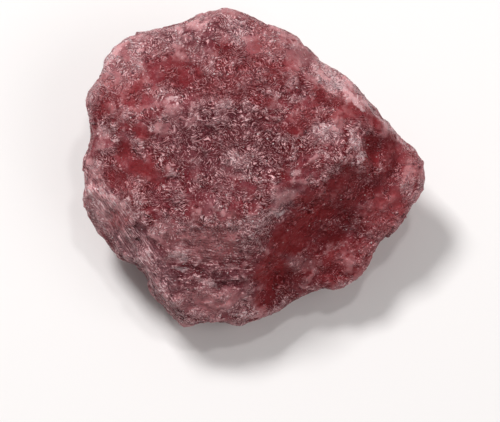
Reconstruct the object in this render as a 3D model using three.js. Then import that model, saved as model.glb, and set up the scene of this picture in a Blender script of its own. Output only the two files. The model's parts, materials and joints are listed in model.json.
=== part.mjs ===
// A hand-sized rough of strawberry quartz: one broken lump, cloudy and wine red, with a broad
// face, a dark flank that drops to a low shelf, and steep broken sides. Millimetres, +Z up. The
// lump stands on the flat underside at Z = 0, and the origin is the middle of its base.
//
// The stone is described in the frame of its broad face: u to the right, v up the face and w out
// of it, with the core at the middle. It is a solid distance, negative inside, made of flat
// facets, an outline, a shelf and broken relief. The mesh is a geodesic ball round the core: each
// vertex moves out along its own ray until it meets the stone, and then the net is evened out.

import * as THREE from "three";
import { mergeVertices } from "three/addons/utils/BufferGeometryUtils.js";
import { ImprovedNoise } from "three/addons/math/ImprovedNoise.js";

// ---------------------------------------------------------------- driving dimensions
const FACE_LEAN = 14; // degrees that the broad face leans towards the front, -Y
const CORE_HEIGHT = 12.8; // from the resting face up to the core
const RIM_TILT = 0.15; // the widest line round the stone rises by this much for each mm of v
const RIM_WANDER = 3.2; // and wanders up and down by up to this
const RIM_WAVES = 1.6; // how quickly it does so on its way round
const WALL_TAPER = 0.15; // the walls lean in by this much for each mm above or below that line
const PLAIN_WALL_AT = 9; // mm from that line at which the outline's points have died away
const PLAIN_WALL_ARC = 16; // degrees to each side over which the walls are evened out there
const PLAIN_WALL_STEP = 3; // degrees between the directions in which that is worked out
const ARC_STEP = 2; // degrees between the samples of each arc
const RIM_ALLOWANCE = 0.15; // what the relief takes off the outline, given back
const RIM_RELIEF = 0.35; // share of the relief that is left on the rim itself
const RIM_BAND = 5; // mm from the rim at which the relief is whole again
const WALL_BAND = 6; // mm below the rim at which the walls' coarse breaks are whole
const EDGE_WEAR = 0.7; // depth to which the edge between two facets is worn

// ---------------------------------------------------------------- the net of triangles
const LONGEST_RAY = 60; // further from the core than any of the stone
const GEODESIC_DETAIL = 21; // 20 x 22 x 22 triangles
const RAY_SPREAD = new THREE.Vector3(1, 0.92, 0.62); // rays crowd the rim, as the stone is flat
const ROOT_STEPS = 34; // halvings that find the surface on a ray
const EVENING_PASSES = 14; // how often the net is evened out
const SEATING_STEPS = 2; // moves that put a vertex back on the surface after each pass
const LAST_SEATING_STEPS = 6; // and at the end
const PROBE = 0.04; // distance over which the surface's direction is felt
const LEAST_SLOPE = 0.5; // the squared slope of the distance is taken to be at least this
const ONE_POINT = 1e-5; // corners of the ball nearer than this are one
const FLAT_WITHIN = 0.05; // what ends this near the resting plane lies on it

// The outline of the stone, seen square to the broad face: [u, v], clockwise from the top corner.
const OUTLINE = [
  [-3.8, 26.8], [-1.4, 26.0], [0.9, 24.9], [6.9, 22.3], [9.3, 20.3], [11.8, 18.3],
  [14.3, 16.4], [16.8, 14.4], [19.1, 11.9], [23.1, 7.8], [25.1, 5.2], [27.2, 3.7],
  [28.9, 1.9], [29.5, 0.1], [29.1, -2.0], [28.1, -4.8], [26.6, -7.2], [24.5, -9.7],
  [22.5, -11.6], [20.9, -13.4], [19.8, -15.8], [18.0, -17.7], [16.0, -19.5], [14.1, -20.1],
  [12.5, -19.3], [10.3, -20.5], [7.2, -21.8], [5.4, -23.2], [0.3, -25.0], [-1.4, -26.2],
  [-5.8, -25.4], [-7.8, -25.6], [-10.9, -26.5], [-12.6, -25.4], [-14.7, -22.9],
  [-17.0, -19.6], [-17.3, -17.6], [-19.6, -15.5], [-22.0, -15.4], [-24.5, -11.3],
  [-26.2, -9.8], [-27.2, -7.4], [-28.0, -4.0], [-28.1, 0.1], [-26.4, 4.9], [-27.3, 11.7],
  [-26.3, 13.6], [-24.8, 15.5], [-24.8, 18.2], [-21.9, 21.6], [-18.2, 22.8], [-14.2, 23.5],
  [-7.3, 26.0],
];

// Flat broken faces. Each passes through a point [u, v, w], and slopes from the broad face's own
// plane by `slope` degrees, falling towards `falls`, in degrees anticlockwise from +u.
const FRONT_FACETS = [
  { name: "broad face, left", at: [-8, 3, 12.4], falls: 175, slope: 6 },
  { name: "broad face, top", at: [-5, 13, 11.6], falls: 100, slope: 15 },
  { name: "broad face, right", at: [9, 6, 11.6], falls: 35, slope: 13 },
  { name: "top peak, right side", at: [1, 22, 9], falls: 64, slope: 31 },
  { name: "top left shoulder", at: [-18, 14, 9], falls: 136, slope: 28 },
  { name: "top left corner", at: [-23.2, 18.4, 4.6], falls: 148, slope: 62 },
  { name: "left shoulder", at: [-23.2, 3, 8], falls: 182, slope: 37 },
  { name: "lower left flank", at: [-19.3, -11, 7.4], falls: 217, slope: 60 },
  { name: "lower slope", at: [-6, -11, 11.2], falls: 266, slope: 27 },
  { name: "bottom lip", at: [-8, -21.5, 5.2], falls: 262, slope: 54 },
  { name: "top right bevel", at: [14.5, 13.8, 7.6], falls: 48, slope: 46 },
  { name: "dark flank", at: [8, -5, 10.9], falls: 312, slope: 43 },
  { name: "right nose", at: [19.8, 3, 8.2], falls: 354, slope: 42 },
];
const BACK_FACETS = [
  { name: "rear wall, left", at: [-9, 25.4, -4], falls: 106, slope: 97 },
  { name: "rear wall, right", at: [4, 25.0, -4], falls: 70, slope: 103 },
  { name: "rear undercut", at: [1, 20.5, -12], falls: 84, slope: 124 },
  { name: "right undercut", at: [25.4, 0, -5], falls: 5, slope: 122 },
  { name: "rear right undercut", at: [17, 14.5, -7], falls: 45, slope: 106 },
  { name: "left undercut", at: [-26, 2, -6], falls: 184, slope: 107 },
  { name: "rear left undercut", at: [-21.5, 18, -6], falls: 138, slope: 112 },
  { name: "front right undercut", at: [18, -15.4, -7], falls: 318, slope: 106 },
];
const SHELF_FACETS = [
  { name: "shelf", at: [15, -14, 2.6], falls: 300, slope: 24 },
  { name: "shelf nose", at: [25, -3, 3.0], falls: 342, slope: 24 },
  { name: "shelf's buried end", at: [0, 0, 0], falls: 125, slope: 90 },
];

// Hollows struck out of the surface: a dish round a point, with its radius and its depth.
const HOLLOWS = [
  { name: "edge chip", at: [14.6, 14.6, 8], radius: 3.4, depth: 1.3 },
  { name: "second edge chip", at: [21, 8.4, 4], radius: 2.6, depth: 0.8 },
  { name: "top dish", at: [-11.3, 14.6, 11], radius: 5.0, depth: 0.9 },
  { name: "middle dish", at: [-2, 3, 12], radius: 7.5, depth: 0.9 },
  { name: "flank pit", at: [-22.4, -8.6, 4], radius: 2.3, depth: 0.9 },
  { name: "valley", at: [13.5, -9.5, 3.5], radius: 6.0, depth: 1.6 },
  { name: "foot of the flank", at: [5, -19.5, 2], radius: 4.6, depth: 1.6 },
  { name: "ridge notch", at: [20.5, 3.5, 7], radius: 3.0, depth: 1.2 },
  { name: "left dish", at: [-20.5, 0.5, 8.5], radius: 4.2, depth: 0.8 },
  { name: "lower dish", at: [-9, -14.5, 9], radius: 4.4, depth: 0.7 },
];

// Rounded lumps left standing, in the same terms.
const LUMPS = [
  { name: "right lobe", at: [27.2, -1.5, 1.5], radius: 4.5, height: 1.2 },
  { name: "shelf lobe", at: [17.5, -14.5, 1.5], radius: 4.2, height: 1.0 },
  { name: "bottom lobe", at: [-5, -23, 4], radius: 4.6, height: 1.0 },
  { name: "ridge knob", at: [18.2, 0.4, 8.6], radius: 2.6, height: 0.8 },
  { name: "flank rib", at: [-20.5, -13, 3], radius: 3.0, height: 0.7 },
];

// Broken relief: shell-shaped scars of several sizes that meet in ridges. `level` is the height
// within a scar that leaves the facet where it is, and `seed` sets where its scars lie.
const LARGE_SCARS = { size: 8.5, depth: 1.3, level: 0.35, seed: 0 };
const SMALL_SCARS = { size: 4.2, depth: 0.8, level: 0.35, seed: 7 };
const WALL_SCARS = { size: 15, depth: 2.4, level: 0.5, seed: 14 }; // on the sides and the back
const GRAIN = { size: 2.4, depth: 0.32 }; // soft unevenness over all of it

// Ledges where the stone parted in layers: `along` is the direction across the layers.
const LEDGES = [
  {
    name: "lower slope ledges",
    at: [-7, -17, 8],
    reach: 9,
    along: [0.12, -0.93, -0.35],
    pitch: 2.9,
    depth: 0.5,
  },
  {
    name: "flank ledges",
    at: [-20, -12, 4],
    reach: 9,
    along: [-0.62, -0.44, -0.65],
    pitch: 2.3,
    depth: 0.45,
  },
];

const LEDGE_WANDER = 6; // mm over which a ledge wanders by its own pitch

const STONE_COLOUR = "#86494d";

// ---------------------------------------------------------------- the stone's solid distance
const noise = new ImprovedNoise();
const vector = (a) => new THREE.Vector3(...a);

/** A facet's point and outward normal in the face frame. */
function readyFacet({ at, falls, slope }) {
  const turn = THREE.MathUtils.degToRad(falls);
  const tilt = THREE.MathUtils.degToRad(slope);
  const normal = new THREE.Vector3(
    Math.sin(tilt) * Math.cos(turn),
    Math.sin(tilt) * Math.sin(turn),
    Math.cos(tilt),
  );
  return { normal, offset: normal.dot(vector(at)) };
}

/** The larger of two distances, with the corner between them worn to a small radius. */
function wornMax(a, b, wear = EDGE_WEAR) {
  const h = Math.max(wear - Math.abs(a - b), 0) / wear;
  return Math.max(a, b) + (h * h * wear) / 4;
}

/** Distance outside a set of facets. */
function outsideFacets(facets, p) {
  return facets
    .map(({ normal, offset }) => normal.dot(p) - offset)
    .reduce((a, b) => wornMax(a, b));
}

/** The outline's distance from the core, in the direction of an angle in the face plane. */
function outlineRadius(angle) {
  const du = Math.cos(angle);
  const dv = Math.sin(angle);
  for (let i = 0; i < OUTLINE.length; i++) {
    const [au, av] = OUTLINE[i];
    const [bu, bv] = OUTLINE[(i + 1) % OUTLINE.length];
    const sideA = du * av - dv * au;
    const sideB = du * bv - dv * bu;
    if (sideA * sideB > 0 || sideA === sideB) continue;
    const share = sideA / (sideA - sideB);
    const radius = (au + share * (bu - au)) * du + (av + share * (bv - av)) * dv;
    if (radius > 0) return radius;
  }
  throw new Error("the outline doesn't go round the core");
}

/** The same distance evened out over an arc, for each of the directions round the stone. */
const plainRadii = Array.from({ length: 360 / PLAIN_WALL_STEP }, (_, i) => {
  const samples = [];
  for (let turn = -PLAIN_WALL_ARC; turn <= PLAIN_WALL_ARC; turn += ARC_STEP)
    samples.push(outlineRadius(THREE.MathUtils.degToRad(i * PLAIN_WALL_STEP + turn)));
  return samples.reduce((a, b) => a + b) / samples.length;
});

/** The evened-out distance in the direction of an angle, for the walls away from the rim. */
function plainRadius(angle) {
  const count = plainRadii.length;
  const steps = THREE.MathUtils.radToDeg(angle) / PLAIN_WALL_STEP;
  const place = THREE.MathUtils.euclideanModulo(steps, count);
  const before = Math.floor(place);
  const next = plainRadii[(before + 1) % count];
  return THREE.MathUtils.lerp(plainRadii[before % count], next, place - before);
}

/** A repeatable random number from 0 to 1 for a whole-number cell and a seed. */
function cellRandom(x, y, z, seed) {
  // A sine of a large, uneven sum: its last digits look random.
  const s = Math.sin(x * 127.1 + y * 311.7 + z * 74.7 + seed * 53.3) * 43758.5453;
  return s - Math.floor(s);
}

/** Height of shell-shaped scars: lowest at the middle of each, highest at the ridges between. */
function scars(p, { size, depth, level, seed }) {
  const q = p.clone().divideScalar(size);
  const cell = q.clone().floor();
  let nearest = Infinity;
  for (let i = -1; i <= 1; i++)
    for (let j = -1; j <= 1; j++)
      for (let k = -1; k <= 1; k++) {
        const [x, y, z] = [cell.x + i, cell.y + j, cell.z + k];
        const middle = new THREE.Vector3(
          x + cellRandom(x, y, z, seed),
          y + cellRandom(x, y, z, seed + 1),
          z + cellRandom(x, y, z, seed + 2),
        );
        nearest = Math.min(nearest, middle.distanceToSquared(q));
      }
  return depth * (nearest - level);
}

/** How far a dish or lump reaches at a point: 1 at its middle and 0 at its radius. */
function dish(p, at, radius) {
  const share = 1 - p.distanceToSquared(at) / (radius * radius);
  return share > 0 ? share * share * (3 - 2 * share) : 0;
}

const frontFacets = FRONT_FACETS.map(readyFacet);
const backFacets = BACK_FACETS.map(readyFacet);
const shelfFacets = SHELF_FACETS.map(readyFacet);
const hollows = HOLLOWS.map((h) => ({ ...h, at: vector(h.at) }));
const lumps = LUMPS.map((l) => ({ ...l, at: vector(l.at) }));
const ledges = LEDGES.map((l) => ({
  ...l,
  at: vector(l.at),
  along: vector(l.along).normalize(),
}));

/** Height of the broken relief above the facets, in mm, at a point of the face frame. */
function relief(p) {
  let height = scars(p, LARGE_SCARS) + scars(p, SMALL_SCARS);
  height += GRAIN.depth * noise.noise(p.x / GRAIN.size, p.y / GRAIN.size, p.z / GRAIN.size);
  for (const { at, radius, depth } of hollows) height -= depth * dish(p, at, radius);
  for (const { at, radius, height: rise } of lumps) height += rise * dish(p, at, radius);
  for (const { at, reach, along, pitch, depth } of ledges) {
    const wander = noise.noise(p.x / LEDGE_WANDER, p.y / LEDGE_WANDER, p.z / LEDGE_WANDER);
    const step = p.dot(along) / pitch + wander;
    const saw = step - Math.floor(step) - 0.5;
    height += depth * saw * dish(p, at, reach);
  }
  return height;
}

/** Distance outside the stone at a point of the face frame, before it is cut flat to rest. */
function outsideStone(p) {
  const angle = Math.atan2(p.y, p.x);
  const round = new THREE.Vector3(Math.cos(angle), Math.sin(angle), 0).multiplyScalar(RIM_WAVES);
  const belowRim = RIM_TILT * p.y + RIM_WANDER * noise.noise(round.x, round.y, 0.5) - p.z;
  const fromRim = Math.abs(belowRim);
  const plainness = THREE.MathUtils.smoothstep(fromRim, 0, PLAIN_WALL_AT);
  const atRim = outlineRadius(angle);
  const reach = THREE.MathUtils.lerp(atRim, Math.min(atRim, plainRadius(angle)), plainness);
  const wall = Math.hypot(p.x, p.y) - reach - RIM_ALLOWANCE + WALL_TAPER * fromRim;
  const front = Math.min(outsideFacets(frontFacets, p), outsideFacets(shelfFacets, p));
  const body = wornMax(wornMax(front, wall), outsideFacets(backFacets, p));
  const offRim = THREE.MathUtils.smoothstep(Math.max(-wall, fromRim), 0, RIM_BAND);
  const behind = THREE.MathUtils.smoothstep(belowRim, 0, WALL_BAND);
  const fine = relief(p) * THREE.MathUtils.lerp(RIM_RELIEF, 1, offRim);
  return body - fine - scars(p, WALL_SCARS) * behind;
}

// ---------------------------------------------------------------- the mesh
const intoFaceFrame = new THREE.Matrix4().makeRotationX(-THREE.MathUtils.degToRad(FACE_LEAN));

/** Distance outside the finished stone at a point of the part's frame, measured from the core. */
function outside(p) {
  const broken = outsideStone(p.clone().applyMatrix4(intoFaceFrame));
  return Math.max(broken, -CORE_HEIGHT - p.z);
}

/** The point where a ray from the core meets the surface. */
function surfaceOn(ray) {
  let [inner, outer] = [0, LONGEST_RAY];
  for (let i = 0; i < ROOT_STEPS; i++) {
    const middle = (inner + outer) / 2;
    if (outside(ray.clone().multiplyScalar(middle)) > 0) outer = middle;
    else inner = middle;
  }
  return ray.clone().multiplyScalar(inner);
}

/** Moves a point near the surface onto it, along the direction in which the distance grows. */
function seat(p, steps) {
  for (let i = 0; i < steps; i++) {
    const distance = outside(p);
    const slope = new THREE.Vector3(
      outside(p.clone().setX(p.x + PROBE)) - distance,
      outside(p.clone().setY(p.y + PROBE)) - distance,
      outside(p.clone().setZ(p.z + PROBE)) - distance,
    ).divideScalar(PROBE);
    const move = distance / Math.max(slope.lengthSq(), LEAST_SLOPE);
    p.addScaledVector(slope, -move);
  }
}

/** For each vertex of an indexed geometry, the vertices that it shares an edge with. */
function neighboursOf(geometry) {
  const around = Array.from({ length: geometry.getAttribute("position").count }, () => new Set());
  const { array } = geometry.index;
  for (let i = 0; i < array.length; i += 3)
    for (let j = 0; j < 3; j++) {
      const [a, b] = [array[i + j], array[i + ((j + 1) % 3)]];
      around[a].add(b);
      around[b].add(a);
    }
  return around.map((set) => [...set]);
}

/** Evens out the net: each vertex moves to the middle of its neighbours and back to the stone. */
function evenOut(points, around) {
  for (let pass = 0; pass < EVENING_PASSES; pass++) {
    const middles = around.map((near) =>
      near.reduce((sum, n) => sum.add(points[n]), new THREE.Vector3()).divideScalar(near.length),
    );
    middles.forEach((middle, i) => {
      points[i].copy(middle);
      seat(points[i], SEATING_STEPS);
    });
  }
  points.forEach((p) => seat(p, LAST_SEATING_STEPS));
}

/** The stone as one closed mesh, standing on Z = 0 with the origin in the middle of its base. */
function stoneGeometry() {
  const ball = new THREE.IcosahedronGeometry(1, GEODESIC_DETAIL);
  ball.deleteAttribute("normal");
  ball.deleteAttribute("uv");
  const geometry = mergeVertices(ball, ONE_POINT);
  const place = geometry.getAttribute("position");
  const points = Array.from({ length: place.count }, (_, i) =>
    surfaceOn(new THREE.Vector3().fromBufferAttribute(place, i).multiply(RAY_SPREAD).normalize()),
  );
  evenOut(points, neighboursOf(geometry));
  points.forEach((p, i) => place.setXYZ(i, p.x, p.y, restingHeight(p)));
  geometry.computeBoundingBox();
  const middle = geometry.boundingBox.getCenter(new THREE.Vector3());
  geometry.translate(-middle.x, -middle.y, 0);
  geometry.computeVertexNormals();
  return geometry;
}

/** A surface point's height over the resting face, and exactly 0 where it lies on that face. */
function restingHeight(p) {
  const z = p.z + CORE_HEIGHT;
  return z < FLAT_WITHIN ? 0 : z;
}

const stoneMaterial = new THREE.MeshStandardMaterial({
  color: STONE_COLOUR,
  roughness: 0.45,
  metalness: 0,
  flatShading: true,
});

const stone = new THREE.Mesh(stoneGeometry(), stoneMaterial);
stone.name = "stone";

const part = new THREE.Group();
part.add(stone);

export default part;
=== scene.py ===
"""A rough of strawberry quartz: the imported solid, dressed with its broken skin and cloudy colour.

The stone is described in the frame of its broad face, in millimetres: u to the right, v up the
face and w out of it, from the core in the middle of the stone. Everything in Blender is in metres.
"""

import json
import logging
import math
from collections.abc import Iterable, Mapping
from dataclasses import dataclass, field
from enum import Enum
from typing import Any

import bpy
from bpy.types import Material, Node, NodeSocket, NodeTree, Object
from mathutils import Euler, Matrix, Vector

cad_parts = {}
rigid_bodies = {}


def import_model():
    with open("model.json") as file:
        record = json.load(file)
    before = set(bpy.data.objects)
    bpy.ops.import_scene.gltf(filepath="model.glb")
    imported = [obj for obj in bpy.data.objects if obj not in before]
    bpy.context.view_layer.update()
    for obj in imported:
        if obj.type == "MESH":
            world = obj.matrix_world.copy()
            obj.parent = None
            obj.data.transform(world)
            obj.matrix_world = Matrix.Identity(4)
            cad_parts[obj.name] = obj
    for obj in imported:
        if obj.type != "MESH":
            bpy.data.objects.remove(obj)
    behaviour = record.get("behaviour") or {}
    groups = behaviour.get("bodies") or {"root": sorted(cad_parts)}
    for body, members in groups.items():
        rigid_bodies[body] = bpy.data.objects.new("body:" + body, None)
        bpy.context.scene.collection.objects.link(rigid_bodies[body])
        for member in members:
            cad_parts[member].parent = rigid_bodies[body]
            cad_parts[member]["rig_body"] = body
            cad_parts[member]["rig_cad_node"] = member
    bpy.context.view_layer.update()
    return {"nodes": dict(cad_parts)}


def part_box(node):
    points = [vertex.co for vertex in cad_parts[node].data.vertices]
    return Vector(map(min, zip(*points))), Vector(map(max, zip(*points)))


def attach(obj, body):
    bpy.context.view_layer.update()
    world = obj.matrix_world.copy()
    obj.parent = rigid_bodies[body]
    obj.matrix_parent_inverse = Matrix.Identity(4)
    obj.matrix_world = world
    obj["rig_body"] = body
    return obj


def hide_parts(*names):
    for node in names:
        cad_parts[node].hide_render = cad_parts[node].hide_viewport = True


MM = 0.001
TOUCHING = 0.001 * MM  # points nearer than this are one point
CREST = "crest"  # the attribute that says how far the surface stands out
IMAGE_WIDTH = 500  # pixels
IMAGE_HEIGHT = 422
MIX_A, MIX_B, MIX_COLOUR = 6, 7, 2  # the colour sockets of a Mix node
LOG = logging.getLogger("stone")


def linear(code: str) -> tuple[float, float, float, float]:
    """Turns an sRGB hex colour into a linear one.

    Args:
        code: The colour as "#rrggbb".

    Returns:
        Linear red, green, blue and an alpha of 1.
    """
    channels = [int(code[i : i + 2], 16) / 255 for i in (1, 3, 5)]
    red, green, blue = (
        c / 12.92 if c <= 0.04045 else ((c + 0.055) / 1.055) ** 2.4 for c in channels
    )
    return red, green, blue, 1.0


def add_node(
    tree: NodeTree, kind: str, inputs: Mapping[str | int, Any] | None = None, **settings: Any
) -> Node:
    """Adds a node with its settings, its values and its links.

    Args:
        tree: The node tree that gets it.
        kind: The node's class name.
        inputs: For each input, by name or number, a value or the output socket that feeds it.
        **settings: The node's own properties.

    Returns:
        The new node.
    """
    node = tree.nodes.new(kind)
    for name, value in settings.items():
        setattr(node, name, value)
    for key, value in (inputs or {}).items():
        if isinstance(value, NodeSocket):
            tree.links.new(value, node.inputs[key])
        else:
            node.inputs[key].default_value = value
    return node


def bent(
    tree: NodeTree,
    place: NodeSocket,
    scale: float,
    shift: float,
    seed: float | None = None,
    detail: float = 2.0,
    keenness: float = 0.5,
) -> NodeSocket:
    """Moves a place about by noise, so that a pattern read there runs crooked.

    Args:
        tree: The node tree.
        place: The place, in mm.
        scale: How many cells of the noise there are to a millimetre.
        shift: How far the noise moves the place, in mm.
        seed: Which of many such noises it is.
        detail: How many finer rounds the noise holds.
        keenness: How strong each finer round is against the one before.

    Returns:
        The moved place.
    """
    inputs = {"Vector": place, "Scale": scale, "Detail": detail, "Roughness": keenness}
    seeded = {} if seed is None else {"W": seed}
    noise = add_node(
        tree, "ShaderNodeTexNoise", inputs | seeded, noise_dimensions="4D" if seeded else "3D"
    )
    return add_node(
        tree,
        "ShaderNodeVectorMath",
        {0: noise.outputs["Color"], 1: (shift,) * 3, 2: place},
        operation="MULTIPLY_ADD",
    ).outputs[0]


def deselect_all() -> None:
    """Deselects every object."""
    bpy.ops.object.select_all(action="DESELECT")


@dataclass(frozen=True)
class FaceFrame:
    """The frame of the stone's broad face.

    Attributes:
        lean: How far the face leans towards the front, in degrees.
        core: The core's place in the part's frame, in mm.
    """

    lean: float = 14.0
    core: tuple[float, float, float] = (-0.83, 0.05, 12.8)

    def rotation(self) -> Euler:
        """The turn from the face frame to the part's frame."""
        return Euler((math.radians(self.lean), 0.0, 0.0))

    def point(self, u: float, v: float, w: float) -> Vector:
        """The place in metres, in the part's frame, of a point of the face frame in mm."""
        return (self.rotation().to_matrix() @ Vector((u, v, w)) + Vector(self.core)) * MM

    def coordinates(self, tree: NodeTree) -> NodeSocket:
        """Adds nodes that give each surface point's place in the face frame, in mm.

        Args:
            tree: The material's node tree.

        Returns:
            A vector socket.
        """
        place = add_node(tree, "ShaderNodeTexCoord").outputs["Object"]
        mapping = add_node(
            tree,
            "ShaderNodeMapping",
            {
                "Vector": place,
                "Location": Vector(self.core) * MM,
                "Rotation": self.rotation(),
                "Scale": (MM, MM, MM),
            },
            vector_type="TEXTURE",
        )
        return mapping.outputs[0]


FACE = FaceFrame()


class Look(Enum):
    """What a patch of the stone looks like."""

    WINE = "deep, clear red, seen into the stone"
    # partly the white of crushed stone, partly painted sheen where the surface catches the light
    FROST = "pale, where the surface is crushed"
    ASH = "grey violet, where the stone parted along its layers"
    SHADE = "dark red, where the stone is thick and clear"
    DUSK = "dull dark wine, full of small cracks"
    # partly a painted glow: the pink stands in for light coming through where the stone is thin
    BLUSH = "clear pink, where the stone is thin and light comes through"
    CHIP = "white, where the stone was struck"


@dataclass(frozen=True)
class Patch:
    """A soft-edged patch of the surface, placed on the broad face.

    Attributes:
        u: Its middle, to the right, in mm.
        v: Its middle, up the face, in mm.
        length: Half its own length, in mm.
        width: Half its width, in mm.
        turn: The direction of its length, in degrees anticlockwise from u.
        strength: 1 is full; more makes a frosted patch whiter and its edge harder.
    """

    u: float
    v: float
    length: float
    width: float
    turn: float = 0.0
    strength: float = 1.0


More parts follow.
